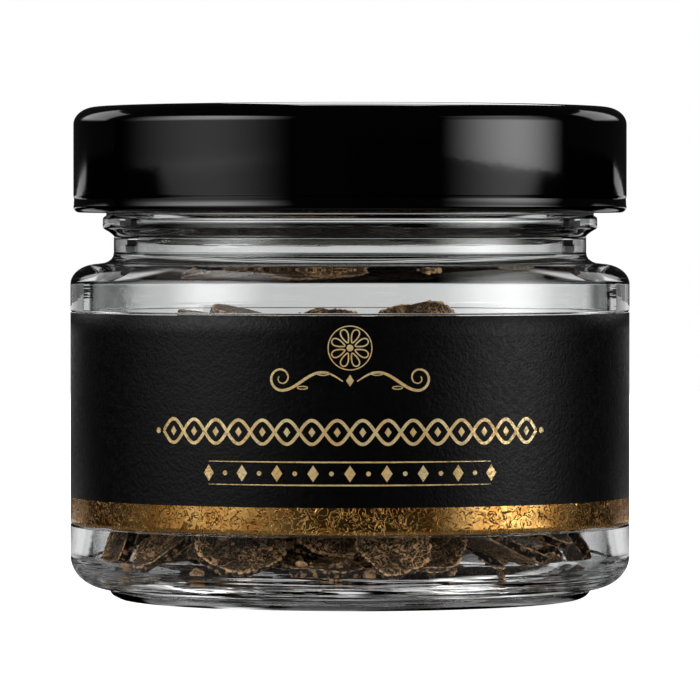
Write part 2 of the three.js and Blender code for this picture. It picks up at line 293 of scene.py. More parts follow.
points, faces = turned(glassProfile(), jarSizes["around"], swell=threadSwell)
glassJar = pieceFrom("clearGlassJar", points, faces, "jar")
facesOutward(glassJar)
glassJar.data.materials.append(clearGlass)
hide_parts("glass_jar")
print("glass jar made:", len(glassJar.data.polygons), "faces")


# The black twist-off lid and its seal.
lidSizes = {
    "radius": 36.3, "low": 50.55, "top": 64.4, "sheet": 0.28, "across": 3.0, "down": 2.3,
    "panel": 31.0, "drop": 0.5, "curlInner": 34.5, "curlTop": 52.3, "around": 224,
    "lugs": 4, "lugInner": 33.0, "lugLow": 51.1, "lugHigh": 52.2, "lugSpan": 13, "lead": 10.8,
}


def lidProfile():
    # Also gives where the side that faces the glass begins.
    s = lidSizes
    outer, top, sheet = s["radius"], s["top"], s["sheet"]
    edgeR, edgeZ = outer - s["across"], top - s["down"]
    floor = top - s["drop"]
    line = [(0, floor), (20, floor)] + held((20.2, floor), (s["panel"] - 0.2, floor))[1:]
    line += [(s["panel"], floor + 0.03), (s["panel"] + 0.35, floor + 0.16), (s["panel"] + 0.75, top - 0.1)]
    line += [(s["panel"] + 1.1, top - 0.02), (s["panel"] + 1.5, top), (edgeR - 0.5, top)]
    line += arc(edgeR, edgeZ, s["across"], s["down"], 88, 0, 22)
    line += [(outer, edgeZ - 0.1), (outer, s["curlTop"] + 0.5)]
    # the rolled edge, a little proud of the skirt's groove
    line += [(outer - 0.03, s["curlTop"] + 0.3), (outer - 0.09, s["curlTop"] + 0.05)]
    line += [(outer - 0.06, s["curlTop"] - 0.25)]
    line += arc(outer - 0.85, s["low"] + 0.75, 0.85, 0.75, 20, -90, 12)
    line += arc(s["curlInner"] + 0.5, s["low"] + 0.75, 0.5, 0.75, -90, -180, 7)
    line += arc(s["curlInner"] + 0.5, s["curlTop"] - 0.6, 0.5, 0.6, 180, 90, 7)
    line += [(outer - sheet - 0.3, s["curlTop"] + 0.05), (outer - sheet, s["curlTop"] + 0.35)]
    inside = len(line)
    line += arc(edgeR, edgeZ, s["across"] - sheet, s["down"] - sheet, 0, 88, 18)
    line += [(edgeR - 0.5, top - sheet), (s["panel"] + 1.5, top - sheet), (s["panel"] + 1.2, top - sheet - 0.03)]
    line += [(s["panel"] + 0.9, top - sheet - 0.12), (s["panel"] + 0.5, floor - sheet + 0.08)]
    line += [(s["panel"] + 0.1, floor - sheet), (0, floor - sheet)]
    return line, inside


def lidLugs():
    # Four lugs rolled in from the curl: short blocks bent round the axis, with eased corners.
    s = lidSizes
    points, faces = [], []
    across = [(0, 0.25), (0.25, 0), (1.9, 0), (1.9, 1), (0.25, 1), (0, 0.75)]
    steps = 12
    for i in range(s["lugs"]):
        first = len(points)
        for k in range(steps + 1):
            share = k / steps
            ends = math.sqrt(max(0.0, 1 - abs(2 * share - 1) ** 6))
            turn = (share - 0.5) * s["lugSpan"]
            a = math.radians(360 / s["lugs"] * i + turn)
            climb = s["lead"] * turn / 360
            for inward, up in across:
                radius = s["lugInner"] + (1 - ends) * 0.6 + inward
                height = s["lugLow"] + up * (s["lugHigh"] - s["lugLow"]) + climb
                points.append((-radius * math.cos(a), -radius * math.sin(a), height))
        wide = len(across)
        for k in range(steps):
            for j in range(wide):
                one, two = first + k * wide + j, first + k * wide + (j + 1) % wide
                faces.append([one, two, two + wide, one + wide])
        faces.append([first + j for j in range(wide)][::-1])
        faces.append([first + steps * wide + j for j in range(wide)])
    return points, faces


blackLacquer, tree, shader = newMaterial("blackLacquer")
coords = coordsOf(tree)
shader.inputs["Base Color"].default_value = (0.0005, 0.0005, 0.0005, 1)
shader.inputs["Metallic"].default_value = 0.0
shader.inputs["IOR"].default_value = 1.5
tree.links.new(band(tree, spots(tree, coords, 55, 3.0), 0.35, 0.7, 0.055, 0.085), shader.inputs["Roughness"])
relief(tree, shader, spots(tree, coords, 900, 1.0), 0.012, 0.0002)

innerLacquer, tree, shader = newMaterial("innerLacquer")
coords = coordsOf(tree)
cloud = band(tree, spots(tree, coords, 180, 3.0), 0.35, 0.65)
colour = blended(tree, cloud, (0.020, 0.020, 0.021), (0.034, 0.034, 0.035))
tree.links.new(colour, shader.inputs["Base Color"])
tree.links.new(band(tree, spots(tree, coords, 400, 2.0), 0.3, 0.7, 0.24, 0.36), shader.inputs["Roughness"])
relief(tree, shader, spots(tree, coords, 1200, 1.0), 0.03, 0.0002)

profile, inside = lidProfile()
points, faces = turned(profile, lidSizes["around"])
lugPoints, lugFaces = lidLugs()
shellFaces = len(faces)
faces += [[corner + len(points) for corner in face] for face in lugFaces]
points += lugPoints
lid = pieceFrom("blackLid", points, faces, "lid")
facesOutward(lid)
lid.data.materials.append(blackLacquer)
lid.data.materials.append(innerLacquer)
for polygon in lid.data.polygons:
    if polygon.index < shellFaces and polygon.index // lidSizes["around"] >= inside:
        polygon.material_index = 1
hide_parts("lid")

sealSizes = {"inner": 28.4, "outer": 31.0, "low": 62.5, "high": 63.3, "around": 160}
castSeal, tree, shader = newMaterial("castSeal")
coords = coordsOf(tree)
colour = blended(tree, band(tree, spots(tree, coords, 300, 3.0), 0.3, 0.7), (0.60, 0.57, 0.50), (0.70, 0.68, 0.62))
tree.links.new(colour, shader.inputs["Base Color"])
tree.links.new(band(tree, spots(tree, coords, 500, 2.0), 0.3, 0.7, 0.42, 0.6), shader.inputs["Roughness"])
relief(tree, shader, spots(tree, coords, 1500, 2.0), 0.15, 0.0001)

s = sealSizes
half = (s["high"] - s["low"]) / 2
section = [(s["inner"], s["high"] - 0.02), (s["inner"] + 0.1, s["high"])]
section += [(s["outer"] - 0.1, s["high"]), (s["outer"], s["high"] - 0.02)]
section += arc((s["inner"] + s["outer"]) / 2, s["low"] + half, (s["outer"] - s["inner"]) / 2, half, 0, -180, 18)
points, faces = turned(section, s["around"], closed=True)
seal = pieceFrom("sealRing", points, faces, "seal")
facesOutward(seal)
seal.data.materials.append(castSeal)
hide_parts("seal_ring")
print("lid and seal made:", len(lid.data.polygons), "faces")


# The label goes round the front and a little past both sides, and carries a gold stamping.
labelSizes = {
    "inner": 36.6, "outer": 36.69, "low": 9.97, "high": 37.48, "half": 104.9, "columns": 420,
    "foilTop": 13.4, "stamp": 0.02,
}


def onLabel(along, height, radius):
    # along is in millimetres round the label from its middle, to the right
    a = along / labelSizes["outer"]
    return (radius * math.sin(a), -radius * math.cos(a), height)


def labelSheet():
    s = labelSizes
    reach = math.radians(s["half"]) * s["outer"]
    rows = [s["low"], s["low"] + 0.03] + [s["low"] + (s["foilTop"] - s["low"]) * k / 6 for k in range(1, 7)]
    rows += [s["foilTop"] + (s["high"] - 0.03 - s["foilTop"]) * k / 10 for k in range(1, 11)] + [s["high"]]
    points, faces = [], []
    for k in range(s["columns"] + 1):
        along = reach * (2 * k / s["columns"] - 1)
        edge = 0.02 if k in (0, s["columns"]) else 0
        for z in rows:
            eased = 0.02 if z in (rows[0], rows[-1]) else 0
            points.append(onLabel(along, z, s["outer"] - max(edge, eased)))
        for z in (rows[-1], rows[0]):
            points.append(onLabel(along, z, s["inner"]))
    tall = len(rows) + 2
    for k in range(s["columns"]):
        for j in range(tall):
            one, two = k * tall + j, k * tall + (j + 1) % tall
            faces.append([one, one + tall, two + tall, two])
    faces.append(list(range(tall)))
    faces.append(list(range(s["columns"] * tall, (s["columns"] + 1) * tall))[::-1])
    return points, faces


blackPaper, tree, shader = newMaterial("blackPaper")
coords = coordsOf(tree)
grain = add(tree, "ShaderNodeTexVoronoi", Vector=coords, Scale=2600.0, feature="F1").outputs["Distance"]
fibre = spots(tree, coords, 1500, 4.0, 0.6, 0.4)
cloud = spots(tree, coords, 90, 3.0, 0.6)
fleck = band(tree, spots(tree, coords, 3800, 1.0), 0.66, 0.74)
tone = blended(tree, band(tree, cloud, 0.35, 0.7), (0.0005, 0.0005, 0.0005), (0.0012, 0.0012, 0.0013))
tone = blended(tree, sums(tree, "MULTIPLY", fleck, 0.5), tone, (0.012, 0.012, 0.012))
tree.links.new(tone, shader.inputs["Base Color"])
tree.links.new(band(tree, fibre, 0.3, 0.7, 0.3, 0.42), shader.inputs["Roughness"])
shader.inputs["IOR"].default_value = 1.27
under = relief(tree, shader, grain, 0.6, 0.00003)
relief(tree, shader, fibre, 0.7, 0.00006, under)


def goldLook(name, look):
    # Beaten foil: mirror-like patches between fine winding creases with dull flanks, and a painted shade that darkens
    # the creases in the colour.
    material, tree, shader = newMaterial(name)
    coords = coordsOf(tree)
    shader.inputs["Metallic"].default_value = look["metal"]
    worm = spots(tree, coords, look["scale"], 1.0, 0.5, 1.6)
    lines = awayFrom(tree, worm, 0.5)
    ridge = band(tree, lines, 0.0, look["ridge"], 1.0, 0.0)
    # painted shade: the creases are darkened in the base colour, standing in for shade in the relief; dark sets how
    # strongly
    creaseShade = band(tree, lines, look["ridge"] * 0.15, look["ridge"] * 0.45, look["dark"], 0.0)
    patch = spots(tree, coords, 300, 3.0, 0.6)
    tone = blended(tree, band(tree, patch, 0.35, 0.65), look["deep"], look["light"])
    tone = blended(tree, creaseShade, tone, (0.08, 0.028, 0.006))
    tree.links.new(tone, shader.inputs["Base Color"])
    sheen = band(tree, lines, look["ridge"] * 0.4, look["ridge"], 0.5, look["rough"])
    tree.links.new(sheen, shader.inputs["Roughness"])
    under = relief(tree, shader, ridge, 1.0, look["emboss"])
    relief(tree, shader, spots(tree, coords, 600, 2.0, 0.5, 0.6), 1.0, look["wave"], under)
    return material


# In each look, dark is the strength of the painted shade in the creases.
goldFoil = goldLook("goldFoil", {
    "metal": 1.0, "scale": 900, "ridge": 0.045, "dark": 0.95, "rough": 0.22, "emboss": 0.00014,
    "wave": 0.00003,
    "deep": (0.72, 0.33, 0.075), "light": (1.0, 0.57, 0.17),
})
stampedGold = goldLook("stampedGold", {
    "metal": 0.5, "scale": 1500, "ridge": 0.06, "dark": 0.35, "rough": 0.32, "emboss": 0.00008,
    "wave": 0.00006,
    "deep": (0.95, 0.64, 0.27), "light": (1.0, 0.80, 0.42),
})

points, faces = labelSheet()
label = pieceFrom("wrapLabel", points, faces, "jar")
facesOutward(label)
label.data.materials.append(blackPaper)
label.data.materials.append(goldFoil)
foilTop = labelSizes["foilTop"] * mm
for polygon in label.data.polygons:
    out = math.hypot(polygon.center.x, polygon.center.y)
    if out > (labelSizes["inner"] + 0.05) * mm and polygon.center.z < foilTop:
        polygon.material_index = 1
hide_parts("label")

ornament = {"points": [], "faces": []}
stampFoot = labelSizes["outer"] - 0.01  # just inside the paper
stampFace = labelSizes["outer"] + labelSizes["stamp"]


def stamped(outlinePoints):
    # A flat shape stamped proud of the label: a closed prism over its outline.
    count, first = len(outlinePoints), len(ornament["points"])
    for radius in (stampFace, stampFoot):
        ornament["points"] += [onLabel(u, z, radius) for u, z in outlinePoints]
    ornament["faces"].append([first + i for i in range(count)])
    ornament["faces"].append([first + count + i for i in range(count)][::-1])
    for i in range(count):
        j = (i + 1) % count
        ornament["faces"].append([first + j, first + i, first + count + i, first + count + j])


def ribbon(line, widths, closed=False):
    # A band of changing width along a line, as one strip of quads with its own thickness.
    count = len(line)
    sides = []
    for i in range(count):
        before = line[i - 1] if closed or i else line[i]
        after = line[(i + 1) % count] if closed or i + 1 < count else line[i]
        du, dz = after[0] - before[0], after[1] - before[1]
        long = math.hypot(du, dz) or 1
        half = widths(i / (count - 1)) / 2
        side = (-dz / long * half, du / long * half)
        u, z = line[i]
        sides.append(((u + side[0], z + side[1]), (u - side[0], z - side[1])))
    first = len(ornament["points"])
    for left, right in sides:
        ornament["points"] += [onLabel(*left, stampFace), onLabel(*right, stampFace)]
        ornament["points"] += [onLabel(*right, stampFoot), onLabel(*left, stampFoot)]
    for i in range(count if closed else count - 1):
        a, b = first + 4 * i, first + 4 * ((i + 1) % count)
        for k in range(4):
            ornament["faces"].append([a + k, a + (k + 1) % 4, b + (k + 1) % 4, b + k])
    if not closed:
        last = first + 4 * (count - 1)
        ornament["faces"] += [[first + 3, first + 2, first + 1, first], [last, last + 1, last + 2, last + 3]]


def circle(u, z, radius, steps=28):
    turns = [2 * math.pi * i / steps for i in range(steps)]
    return [(u + radius * math.cos(a), z + radius * math.sin(a)) for a in turns]


rosette = {
    "height": 33.5, "petals": 8, "reach": 2.45, "wide": 0.62, "stroke": 0.17, "ring": 2.75, "heart": 0.42,
    "clear": 0.28,
}
scroll = {
    "height": 29.4, "stroke": 0.26, "reach": 11.0, "turns": 1.35, "stem": 0.62, "eye": 1.55,
    "leaves": ((3.4, 0.8, 0.9), (6.0, 0.65, -0.9)), "leafStroke": 0.13, "lozenge": (0.5, 0.75),
}
plait = {"height": 22.9, "reach": 25.6, "cells": 16, "swing": 1.5, "stroke": 0.42, "bead": 0.62, "end": 0.38}
beads = {"height": 17.7, "reach": 18.6, "count": 17, "lozenge": (0.72, 1.05), "dot": 0.3, "rule": 0.2, "gap": 1.45}


def lozenge(u, z, wide, tall):
    return [(u, z - tall), (u + wide, z), (u, z + tall), (u - wide, z)]


def stampRosette():
    r = rosette
    near = r["heart"] + r["clear"]
    for i in range(r["petals"]):
        turn = 2 * math.pi * i / r["petals"] + math.pi / r["petals"]
        petal = []
        for k in range(24):
            a = 2 * math.pi * k / 24
            out = near + (r["reach"] - near) * (1 - math.cos(a)) / 2
            side = r["wide"] * math.sin(a) * (0.35 + 0.65 * (1 - math.cos(a)) / 2)
            u = out * math.cos(turn) - side * math.sin(turn)
            petal.append((u, r["height"] + out * math.sin(turn) + side * math.cos(turn)))
        ribbon(petal, lambda t: r["stroke"], closed=True)
    ribbon(circle(0, r["height"], r["ring"], 72), lambda t: r["stroke"] * 0.8, closed=True)
    stamped(circle(0, r["height"], r["heart"]))


def stampScroll():
    # A waving stem to each side that ends in a closing curl, with two leaves.
    r = scroll
    for side in (-1, 1):
        stem = []
        for k in range(90):
            t = k / 89
            if t < r["stem"]:
                along = 0.9 + t / r["stem"] * (r["reach"] - 3.2)
                wave = 1.15 * math.sin(t / r["stem"] * math.pi * 1.5)
                stem.append((side * along, r["height"] + wave - 0.1))
            else:
                spin = (t - r["stem"]) / (1 - r["stem"])
                radius = r["eye"] * (1 - 0.8 * spin)
                a = -math.pi / 2 + spin * r["turns"] * 2 * math.pi
                u = side * (r["reach"] - 2.3 + radius * math.cos(a))
                stem.append((u, r["height"] + 0.3 + radius * math.sin(a)))
        ribbon(stem, lambda t: r["stroke"] * (0.55 + 0.9 * math.sin(math.pi * min(1, t * 1.1))))
        for where, size, up in r["leaves"]:
            leaf = []
            for k in range(20):
                a = 2 * math.pi * k / 20
                leaf.append((side * (where + size * math.cos(a)), r["height"] + up + 0.28 * size * math.sin(a)))
            ribbon(leaf, lambda t: r["leafStroke"], closed=True)
    stamped(lozenge(0, r["height"], *r["lozenge"]))


def stampPlait():
    r = plait
    for phase in (0, math.pi):
        line = []
        for k in range(r["cells"] * 14 + 1):
            t = k / (r["cells"] * 14)
            wave = r["swing"] * math.sin(math.pi * r["cells"] * t + phase)
            line.append((r["reach"] * (2 * t - 1), r["height"] + wave))
        ribbon(line, lambda t: r["stroke"])
    step = 2 * r["reach"] / r["cells"]
    for i in range(r["cells"]):
        u = -r["reach"] + step * (i + 0.5)
        stamped(lozenge(u, r["height"], r["bead"] * 0.72, r["bead"]))
    for side in (-1, 1):
        stamped(circle(side * (r["reach"] + 0.9), r["height"], r["end"], 20))


def stampBeads():
    r = beads
    step = 2 * r["reach"] / (r["count"] - 1)
    for i in range(r["count"]):
        u = -r["reach"] + step * i
        if i % 2:
            stamped(circle(u, r["height"], r["dot"], 18))
        else:
            stamped(lozenge(u, r["height"], *r["lozenge"]))
    for side in (-1, 1):
        level = r["height"] + side * r["gap"]
        rule = [(-r["reach"] + 2 * r["reach"] * k / 60, level) for k in range(61)]
        ribbon(rule, lambda t: r["rule"] * (0.35 + 0.65 * math.sin(math.pi * t)))


for stamp in (stampRosette, stampScroll, stampPlait, stampBeads):
    stamp()
goldStamp = pieceFrom("labelOrnament", ornament["points"], ornament["faces"], "jar", smooth=False)
facesOutward(goldStamp)
goldStamp.data.materials.append(stampedGold)
print("label made:", len(label.data.polygons) + len(goldStamp.data.polygons), "faces")


# The dried slices. Rings are shares of the radius, and rim levels are shares of half the thickness.
sliceLook = {
    "rings": (0.14, 0.3, 0.46, 0.6, 0.72, 0.82, 0.9, 0.955, 0.988), "rimLevels": (0.66, 0.34, 0.0, -0.34, -0.66),
    "pitch": 0.2, "heapPitch": 0.27, "wart": 0.85, "notch": 0.34, "wrinkle": 0.07, "pits": 0.05,
}


def liftOf(curl, x, y):
    return curl[0] * x * x + curl[1] * x * y + curl[2] * y * y



def readSlice(node):
    # The slice's own flat frame, outline and curl, from the corners of its faceted solid.
    work = bmesh.new()
    work.from_mesh(node.data)
    bmesh.ops.remove_doubles(work, verts=work.verts, dist=2e-6)
    tips = sorted((v for v in work.verts if len(v.link_edges) == 12), key=lambda v: v.co.z)
    low, top = tips[0], tips[-1]
    level, ring = {low: 0}, [low]
    for depth in (1, 2, 3):
        ring = [e.other_vert(v) for v in ring for e in v.link_edges]
        ring = [v for v in dict.fromkeys(ring) if v not in level]
        level.update({v: depth for v in ring})
    up = (top.co - low.co).normalized()
    middle = (top.co + low.co) / 2
    first = max(ring, key=lambda v: v.co.z).co - middle
    east = (first - up * first.dot(up)).normalized()
    north = up.cross(east)
    rim = []
    for v in ring:
        offset = v.co - middle
        x, y = offset.dot(east) / mm, offset.dot(north) / mm
        rim.append((math.atan2(y, x) % (2 * math.pi), math.hypot(x, y), x, y, offset.dot(up) / mm))
    half = (top.co - low.co).length / 2 / mm
    work.free()
    rim.sort(key=lambda p: (p[0] + 0.1) % (2 * math.pi))
    waves = np.fft.rfft([p[1] for p in rim]) / len(rim)
    spread = np.array([(p[2] ** 2, p[2] * p[3], p[3] ** 2) for p in rim])
    curl = np.linalg.lstsq(spread, np.array([p[4] for p in rim]), rcond=None)[0]
    return {"middle": middle / mm, "axes": (east, north, up), "half": half, "waves": waves, "curl": curl}


def rimOf(waves, angles):
    # The outline's radius at each angle, from the waves that make it up.
    turns = ((k, w) for k, w in enumerate(waves) if k)
    swings = sum(2 * (w.real * np.cos(k * angles) - w.imag * np.sin(k * angles)) for k, w in turns)
    return float(waves[0].real) + swings


def fineSlice(form, pitch):
    s = sliceLook
    curl, half, middle = form["curl"], form["half"], form["middle"]
    east, north, up = form["axes"]
    around = int(2 * math.pi * float(form["waves"][0].real) / pitch)
    angles = 2 * np.pi * np.arange(around) / around
    outline = rimOf(form["waves"], angles)
    layers = [(share, 1.0) for share in s["rings"]]
    layers += [(1.0, level) for level in s["rimLevels"]]
    layers += [(share, -1.0) for share in reversed(s["rings"])]
    points, rimShare, wartShare = [], [], []

    def put(x, y, side, share):
        # Relief from noise in the jar's own space, so that no two slices are alike.
        lift = liftOf(curl, x, y)
        base = middle + east * x + north * y + up * (lift + side * half)
        near, nearer = noise.voronoi(base / s["wart"])[0][:2]
        top = min(1.0, (nearer - near) / 0.4)
        fade = max(0.0, (share - 0.84) / 0.16)
        inward = s["notch"] * (1 - top) * fade * fade + 0.1 * fade * (0.5 + 0.5 * noise.noise(base / 2.1))
        eased = 0.16 * max(0.0, (share - 0.93) / 0.07) if abs(side) == 1 else 0.0
        flat = abs(side) * (1 - 0.5 * fade)
        bumps = s["wrinkle"] * noise.noise(base / 1.7) + s["pits"] * noise.noise(base / 0.7)
        bumps -= 0.16 * (1 - top) * fade * abs(side)
        long = math.hypot(x, y) or 1
        x, y = x * (1 - inward / long), y * (1 - inward / long)
        lift = liftOf(curl, x, y)
        height = lift + side * (half * (0.97 - eased)) + math.copysign(1, side or 1) * bumps * flat
        points.append(tuple(middle + east * x + north * y + up * height))
        rimShare.append(1.0 if abs(side) < 1 else fade)
        wartShare.append(top)

    put(0.0, 0.0, 1.0, 0.0)
    for share, side in layers:
        for i in range(around):
            reach = outline[i] * share
            put(float(reach * np.cos(angles[i])), float(reach * np.sin(angles[i])), side, share)
    put(0.0, 0.0, -1.0, 0.0)
    faces = [[0, 1 + i, 1 + (i + 1) % around] for i in range(around)]
    for k in range(len(layers) - 1):
        a, b = 1 + k * around, 1 + (k + 1) * around
        for i in range(around):
            j = (i + 1) % around
            faces.append([a + i, b + i, b + j, a + j])
    last = 1 + (len(layers) - 1) * around
    faces += [[len(points) - 1, last + (i + 1) % around, last + i] for i in range(around)]
    return points, faces, rimShare, wartShare


def keepShares(piece, rimShare, wartShare):
    # How near a point is to the rim, and to the top of a wart, for the material to read.
    for key, values in (("rim", rimShare), ("wart", wartShare)):
        piece.data.attributes.new(key, "FLOAT", "POINT").data.foreach_set("value", values)


# Dark flesh with fine pale veins and seeds, a gritty skin, and a painted highlight on the wart tips along the edge
# between the two.
driedTruffle, tree, shader = newMaterial("driedTruffle")
coords = coordsOf(tree)
rimSide = add(tree, "ShaderNodeAttribute", attribute_name="rim").outputs["Fac"]
wartTop = add(tree, "ShaderNodeAttribute", attribute_name="wart").outputs["Fac"]
flesh = spots(tree, coords, 420, 4.0, 0.6, 0.5)
tone = blended(tree, band(tree, flesh, 0.3, 0.7), (0.006, 0.0035, 0.002), (0.032, 0.018, 0.010))
veinNoise = spots(tree, coords, 760, 2.0, 0.5, 1.1)
vein = band(tree, awayFrom(tree, veinNoise, 0.5), 0.008, 0.04, 1.0, 0.0)
fineNoise = spots(tree, coords, 1500, 2.0, 0.55, 1.3)
fineVein = band(tree, awayFrom(tree, fineNoise, 0.5), 0.006, 0.035, 1.0, 0.0)
seeds = add(tree, "ShaderNodeTexVoronoi", Vector=coords, Scale=1900.0, feature="F1").outputs["Distance"]
dot = band(tree, seeds, 0.12, 0.24, 1.0, 0.0)
thick = band(tree, spots(tree, coords, 190, 2.0), 0.4, 0.58, 0.3, 1.0)
marks = sums(tree, "MAXIMUM", vein, sums(tree, "MULTIPLY", fineVein, 0.62))
marks = sums(tree, "MAXIMUM", marks, sums(tree, "MULTIPLY", dot, 0.7))
marks = sums(tree, "MULTIPLY", marks, thick)
tone = blended(tree, sums(tree, "MULTIPLY", marks, 0.95), tone, (0.95, 0.56, 0.28))
grit = spots(tree, coords, 1300, 2.0)
skin = blended(tree, band(tree, grit, 0.52, 0.66, 0.0, 0.6), (0.010, 0.0065, 0.0045), (0.62, 0.35, 0.17))
tone = blended(tree, band(tree, rimSide, 0.9, 0.99), tone, skin)
# painted highlight: the faces' outer edge is tinted pale tan on the tops of the warts, as if catching the light
edge = sums(tree, "MULTIPLY", band(tree, rimSide, 0.4, 0.7), band(tree, rimSide, 0.93, 0.995, 1.0, 0.0))
wartTipHighlight = sums(tree, "MULTIPLY", band(tree, wartTop, 0.2, 0.6), band(tree, grit, 0.36, 0.5, 0.35, 1.0))
tone = blended(tree, sums(tree, "MULTIPLY", edge, wartTipHighlight), tone, (0.95, 0.57, 0.29))
tree.links.new(tone, shader.inputs["Base Color"])
tree.links.new(band(tree, flesh, 0.3, 0.7, 0.5, 0.8), shader.inputs["Roughness"])
shader.inputs["IOR"].default_value = 1.42
under = relief(tree, shader, marks, 0.35, 0.00012)
relief(tree, shader, spots(tree, coords, 1600, 4.0, 0.65), 0.55, 0.00025, under)

shown = 22  # the slices set one by one and the small bits are the ones seen closest
total = 0
forms = []
for name in sorted(n for n in nodes if n.startswith("truffle_slice_")):
    number = int(name[-2:])
    pitch = sliceLook["pitch"] if number <= shown else sliceLook["heapPitch"]
    forms.append(readSlice(nodes[name]))
    points, faces, rimShare, wartShare = fineSlice(forms[-1], pitch)
    piece = pieceFrom(f"driedSlice_{number:02d}", points, faces, "jar")
    keepShares(piece, rimShare, wartShare)
    facesOutward(piece)
    piece.data.materials.append(driedTruffle)
    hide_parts(name)
    total += len(faces)
print("truffle slices made:", total, "faces")


# Broken crumbs between the slices: some lie on the jar's floor, the others on the slices.
crumbSizes = {
    "count": 420, "tries": 6000, "seed": 11, "small": 0.28, "large": 1.15, "lowShare": 0.45, "reach": 33,
    "clear": 0.05, "highest": 32, "steepest": 0.5,
}


def freeOfSlices(point, room):
    for form in forms:
        offset = point - form["middle"]
        east, north, up = form["axes"]
        x, y = offset.dot(east), offset.dot(north)
        if math.hypot(x, y) > float(form["waves"][0].real) + room:
            continue
        lift = liftOf(form["curl"], x, y)
        if abs(offset.dot(up) - lift) < form["half"] + room:
            return False
    return True


def insideGlass(point, room):
    s = jarSizes
    radius = math.hypot(point.x, point.y)
    if radius > s["inner"] - room or point.z < s["floorTop"] + room:
        return False
    turnR, turnZ = s["inner"] - s["corner"], s["floorTop"] + s["corner"]
    if radius > turnR and point.z < turnZ:
        return math.hypot(radius - turnR, point.z - turnZ) < s["corner"] - room
    return True


def onSlice(form, turn, share, size):
    # A place on a slice's upper face, or nothing where the slice stands too steep.
    east, north, up = form["axes"]
    if abs(up.z) < crumbSizes["steepest"]:
        return None
    reach = float(form["waves"][0].real) * 0.85 * share
    x, y = reach * math.cos(turn), reach * math.sin(turn)
    raised = math.copysign(form["half"] + size * 0.75, up.z)
    return form["middle"] + east * x + north * y + up * (liftOf(form["curl"], x, y) + raised)


def crumbPlaces():
    c = crumbSizes
    pick = random.Random(c["seed"])
    places = []
    for _ in range(c["tries"]):
        if len(places) == c["count"]:
            break
        size = c["small"] + (c["large"] - c["small"]) * pick.random() ** 2
        a, share = pick.random() * 2 * math.pi, math.sqrt(pick.random())
        if pick.random() < c["lowShare"]:
            reach = c["reach"] * share
            middle = Vector((reach * math.cos(a), reach * math.sin(a), jarSizes["floorTop"] + size * 0.8))
        else:
            middle = onSlice(pick.choice(forms), a, share, size)
        if middle is None or middle.z >= c["highest"]:
            continue
        if insideGlass(middle, size * 0.75 + c["clear"]) and freeOfSlices(middle, size * 0.5):
            places.append((middle, size))
    return places


ball = bmesh.new()
bmesh.ops.create_icosphere(ball, subdivisions=2, radius=1.0)
ballPoints = [v.co.copy() for v in ball.verts]
ballFaces = [[v.index for v in f.verts] for f in ball.faces]
ball.free()
points, faces, rimShare, wartShare = [], [], [], []
for middle, size in crumbPlaces():
    first = len(points)
    turn = Vector((noise.noise(middle), noise.noise(middle * 1.7), 0.4)).to_track_quat("Z", "Y")
    skin = 0.5 + 0.5 * noise.noise(middle * 3.1)
    for corner in ballPoints:
        swell = 0.85 + 0.45 * noise.noise(corner * 1.3 + middle * 5)
        shaped = Vector((corner.x, corner.y * 0.8, corner.z * 0.55)) * swell
        points.append(tuple(middle + turn @ (shaped * size)))
        rimShare.append(skin)
        wartShare.append(0.5 + 0.5 * noise.noise(corner * 2.0 + middle))
    faces += [[first + k for k in face] for face in ballFaces]
crumbs = pieceFrom("truffleCrumbs", points, faces, "jar", smooth=False)
keepShares(crumbs, rimShare, wartShare)
crumbs.data.materials.append(driedTruffle)
print("crumbs made:", len(faces), "faces")


# Lights and cards. Places and sizes are in metres, turns in degrees from the front.
studio = {
    "surround": 0.012, "away": 0.9, "high": 1.2, "middleUp": 0.035,
    "left": {"turn": -58, "spread": (-56, 36), "glow": 0.85, "upper": 5.0, "tail": 2.4},
    "right": {"turn": 70, "spread": (-34, 28.5), "glow": 4.8, "upper": 1.8, "tail": 1.0},
    "back": {
        "distance": 1.0, "half": 0.61, "high": 0.74, "dim": (0.16, 0.42), "glow": (0.55, 0.72),
        "from": (-0.23, -0.15), "to": (0.25, 0.34), "rise": (0.045, 0.08),
    },
    "wings": {"turn": 44, "distance": 1.1, "middle": 0.46, "half": 0.34, "high": 0.6, "glow": 1.2},
    "top": {"place": (0.035, 0.755, 0.7), "wide": 0.25, "deep": 0.66, "power": 3.4},
    "corners": {"place": (0.75, 0.55, 0.6), "wide": 0.7, "high": 0.5, "power": 0.35},
    "fills": (((0.15, -0.85, 0.2), 3.9), ((-0.2, 0.85, 0.3), 1.2)),
    "bounces": 16,
}


def pointed(thing, place, aim):
    bpy.context.scene.collection.objects.link(thing)
    thing.location = place
    thing.rotation_euler = (Vector(aim) - Vector(place)).to_track_quat("-Z", "Y").to_euler()
    thing.visible_camera = False
    return thing


def panelLight(name, place, aim, wide, high, power):
    # power is the brightness of the light's face
    lamp = bpy.data.lights.new(name, "AREA")
    lamp.shape, lamp.size, lamp.size_y = "RECTANGLE", wide, high
    lamp.energy = power * wide * high * math.pi
    return pointed(bpy.data.objects.new(name, lamp), place, aim)


def glowCard(name, place, aim, low, up, high, glowOf):
    # A card that glows on its front; glowOf gives its brightness across and up the card.
    material = bpy.data.materials.new(name)
    material.use_nodes = True
    tree = material.node_tree
    tree.nodes.remove(tree.nodes["Principled BSDF"])
    onCard = add(tree, "ShaderNodeSeparateXYZ", Vector=coordsOf(tree)).outputs
    glow = glowOf(tree, onCard["X"], onCard["Y"])
    seen = sums(tree, "SUBTRACT", 1.0, tree.nodes.new("ShaderNodeNewGeometry").outputs["Backfacing"])
    shine = add(tree, "ShaderNodeEmission", Strength=sums(tree, "MULTIPLY", glow, seen))
    tree.links.new(shine.outputs[0], tree.nodes["Material Output"].inputs["Surface"])
    mesh = bpy.data.meshes.new(name)
    y = high / 2
    mesh.from_pydata([(low, -y, 0), (low, y, 0), (up, y, 0), (up, -y, 0)], [], [(0, 1, 2, 3)])
    mesh.materials.append(material)
    card = pointed(bpy.data.objects.new(name, mesh), place, aim)
    return card


